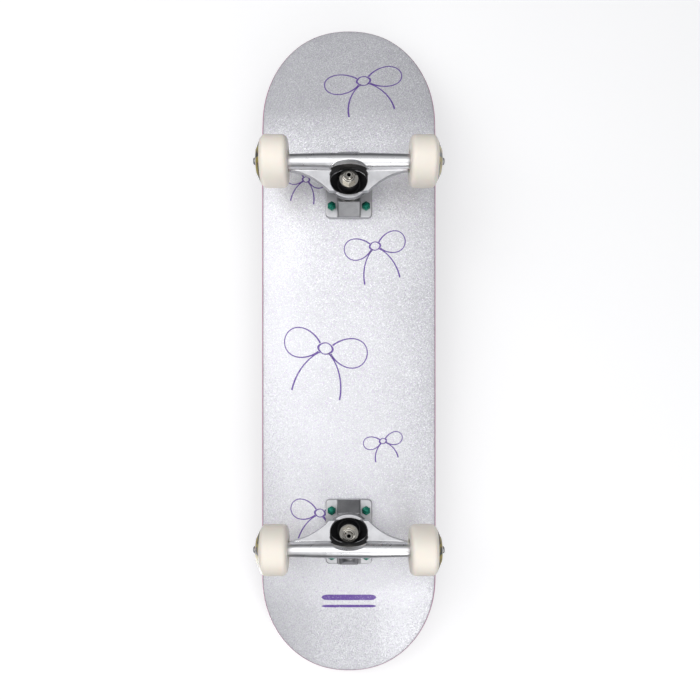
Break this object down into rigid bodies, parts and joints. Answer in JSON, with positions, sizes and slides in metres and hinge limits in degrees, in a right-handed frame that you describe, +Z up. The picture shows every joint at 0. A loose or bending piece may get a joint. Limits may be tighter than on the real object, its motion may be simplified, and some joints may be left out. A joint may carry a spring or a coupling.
{
  "type": "skateboard",
  "caption": "Complete street skateboard: bent maple deck with grip tape, two steering trucks and wheels on ball bearings.",
  "frame": {"origin": "on the floor under the middle of the board's bounding box, standing on its wheels", "axes": "+Y from tail to nose, +Z up, +X to the rider's right when facing the nose"},
  "size_m": [0.216, 0.818, 0.1462],
  "materials": {
    "sparkle_deck": "silver sparkle lacquer over seven-ply maple",
    "grip_tape": "coarse grit on an adhesive sheet",
    "cast_aluminium": "tumbled casting, brightest on the barrel",
    "axle_steel": "zinc-plated steel",
    "nickel_steel": "nickel plate",
    "bearing_steel": "ground bearing steel",
    "black_shield": "black sealed shield",
    "green_hardware": "green anodised look",
    "black_urethane": "black cast urethane",
    "cream_urethane": "cream cast urethane, satin"
  },
  "bodies": {
    "board": {"deck": "sparkle_deck", "grip_tape": "grip_tape", "front_mounting_bolts": "green_hardware", "front_mounting_nuts": "green_hardware", "front_baseplate": "cast_aluminium", "front_pivot_cup": "black_urethane", "front_kingpin": "nickel_steel", "front_board_washer": "nickel_steel", "front_board_bushing": "black_urethane", "front_road_bushing": "black_urethane", "front_road_washer": "nickel_steel", "front_kingpin_nut": "nickel_steel", "rear_mounting_bolts": "green_hardware", "rear_mounting_nuts": "green_hardware", "rear_baseplate": "cast_aluminium", "rear_pivot_cup": "black_urethane", "rear_kingpin": "nickel_steel", "rear_board_washer": "nickel_steel", "rear_board_bushing": "black_urethane", "rear_road_bushing": "black_urethane", "rear_road_washer": "nickel_steel", "rear_kingpin_nut": "nickel_steel"},
    "front_left_wheel_group": {"front_left_wheel": "cream_urethane", "front_left_outer_races": "bearing_steel", "front_left_shields": "black_shield"},
    "front_left_ball_group": {"front_left_balls": "bearing_steel"},
    "front_right_wheel_group": {"front_right_wheel": "cream_urethane", "front_right_outer_races": "bearing_steel", "front_right_shields": "black_shield"},
    "front_right_ball_group": {"front_right_balls": "bearing_steel"},
    "front_hanger_group": {"front_hanger": "cast_aluminium", "front_axle": "axle_steel", "front_left_inner_races": "bearing_steel", "front_left_speed_rings": "bearing_steel", "front_left_axle_nut": "axle_steel", "front_right_inner_races": "bearing_steel", "front_right_speed_rings": "bearing_steel", "front_right_axle_nut": "axle_steel"},
    "rear_left_wheel_group": {"rear_left_wheel": "cream_urethane", "rear_left_outer_races": "bearing_steel", "rear_left_shields": "black_shield"},
    "rear_left_ball_group": {"rear_left_balls": "bearing_steel"},
    "rear_right_wheel_group": {"rear_right_wheel": "cream_urethane", "rear_right_outer_races": "bearing_steel", "rear_right_shields": "black_shield"},
    "rear_right_ball_group": {"rear_right_balls": "bearing_steel"},
    "rear_hanger_group": {"rear_hanger": "cast_aluminium", "rear_axle": "axle_steel", "rear_left_inner_races": "bearing_steel", "rear_left_speed_rings": "bearing_steel", "rear_left_axle_nut": "axle_steel", "rear_right_inner_races": "bearing_steel", "rear_right_speed_rings": "bearing_steel", "rear_right_axle_nut": "axle_steel"}
  },
  "joints": [
    {"name": "front_left_spin", "type": "hinge", "parent": "front_hanger_group", "child": "front_left_wheel_group", "pos_m": [-0.0867, 0.2044, 0.029], "axis": [1, 0, 0], "continuous": true},
    {"name": "front_left_ball_orbit", "type": "hinge", "parent": "front_hanger_group", "child": "front_left_ball_group", "pos_m": [-0.0867, 0.2044, 0.029], "axis": [1, 0, 0], "continuous": true},
    {"name": "front_right_spin", "type": "hinge", "parent": "front_hanger_group", "child": "front_right_wheel_group", "pos_m": [0.0867, 0.2044, 0.029], "axis": [1, 0, 0], "continuous": true},
    {"name": "front_right_ball_orbit", "type": "hinge", "parent": "front_hanger_group", "child": "front_right_ball_group", "pos_m": [0.0867, 0.2044, 0.029], "axis": [1, 0, 0], "continuous": true},
    {"name": "front_steer", "type": "hinge", "parent": "board", "child": "front_hanger_group", "pos_m": [0, 0.2185, 0.0705], "axis": [0, -0.8452, -0.5345], "range_deg": [-15, 15], "stiffness_Nm_per_rad": 40, "deforming": ["front_board_bushing", "front_road_bushing"]},
    {"name": "rear_left_spin", "type": "hinge", "parent": "rear_hanger_group", "child": "rear_left_wheel_group", "pos_m": [-0.0867, -0.2354, 0.029], "axis": [1, 0, 0], "continuous": true},
    {"name": "rear_left_ball_orbit", "type": "hinge", "parent": "rear_hanger_group", "child": "rear_left_ball_group", "pos_m": [-0.0867, -0.2354, 0.029], "axis": [1, 0, 0], "continuous": true},
    {"name": "rear_right_spin", "type": "hinge", "parent": "rear_hanger_group", "child": "rear_right_wheel_group", "pos_m": [0.0867, -0.2354, 0.029], "axis": [1, 0, 0], "continuous": true},
    {"name": "rear_right_ball_orbit", "type": "hinge", "parent": "rear_hanger_group", "child": "rear_right_ball_group", "pos_m": [0.0867, -0.2354, 0.029], "axis": [1, 0, 0], "continuous": true},
    {"name": "rear_steer", "type": "hinge", "parent": "board", "child": "rear_hanger_group", "pos_m": [0, -0.2495, 0.0705], "axis": [0, 0.8452, -0.5345], "range_deg": [-15, 15], "stiffness_Nm_per_rad": 40, "deforming": ["rear_board_bushing", "rear_road_bushing"]}
  ],
  "couplings": [
    {"joint": "front_left_ball_orbit", "follows": "front_left_spin", "ratio": 0.6323},
    {"joint": "front_right_ball_orbit", "follows": "front_right_spin", "ratio": 0.6323},
    {"joint": "rear_left_ball_orbit", "follows": "rear_left_spin", "ratio": 0.6323},
    {"joint": "rear_right_ball_orbit", "follows": "rear_right_spin", "ratio": 0.6323}
  ]
}
